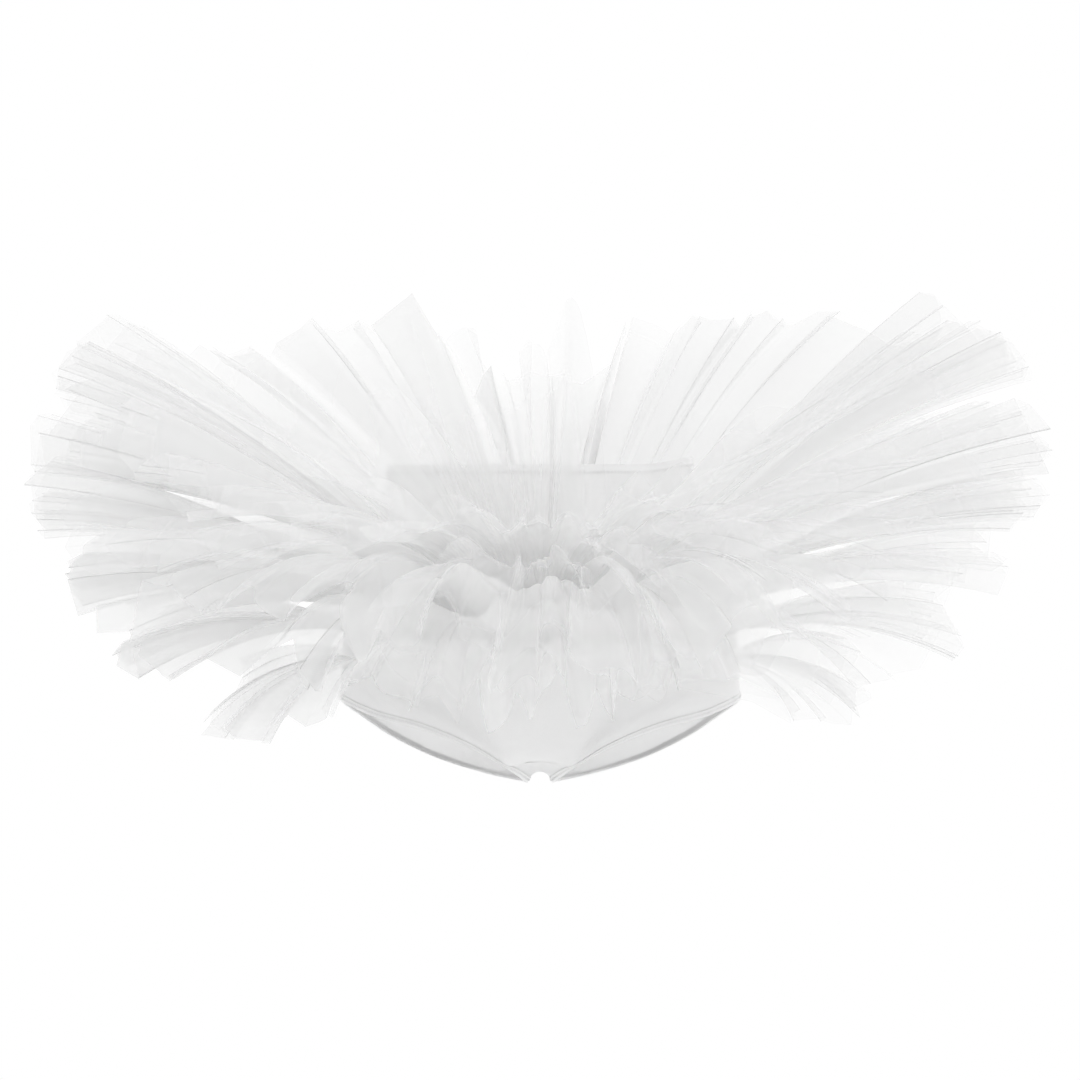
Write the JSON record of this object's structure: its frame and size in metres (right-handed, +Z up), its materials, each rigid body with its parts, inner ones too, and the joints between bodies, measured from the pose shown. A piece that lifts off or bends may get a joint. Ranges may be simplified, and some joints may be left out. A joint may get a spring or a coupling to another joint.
{
  "type": "ballet tutu",
  "caption": "Pull-on practice tutu: a stretch brief with layers of gathered net standing out round the hips, kept in its worn, hollow form.",
  "frame": {"origin": "middle of the waist opening, level with its edge, where the wearer carries the garment", "axes": "+Z up, along the wearer's trunk; +X to the right as seen from the front; the front faces -Y"},
  "size_m": [0.8872, 0.797, 0.4365],
  "materials": {
    "brief": "white matt stretch knit",
    "elastic": "white narrow leg elastic",
    "net": "white see-through stiff net, raw cut"
  },
  "bodies": {
    "root": {"brief_front": "brief", "brief_back": "brief", "gusset": "brief", "leg_elastic_left": "elastic", "leg_elastic_right": "elastic", "net_layer_1": "net", "net_layer_2": "net", "net_layer_3": "net", "net_layer_4": "net", "net_layer_5": "net", "net_layer_6": "net"}
  },
  "joints": []
}
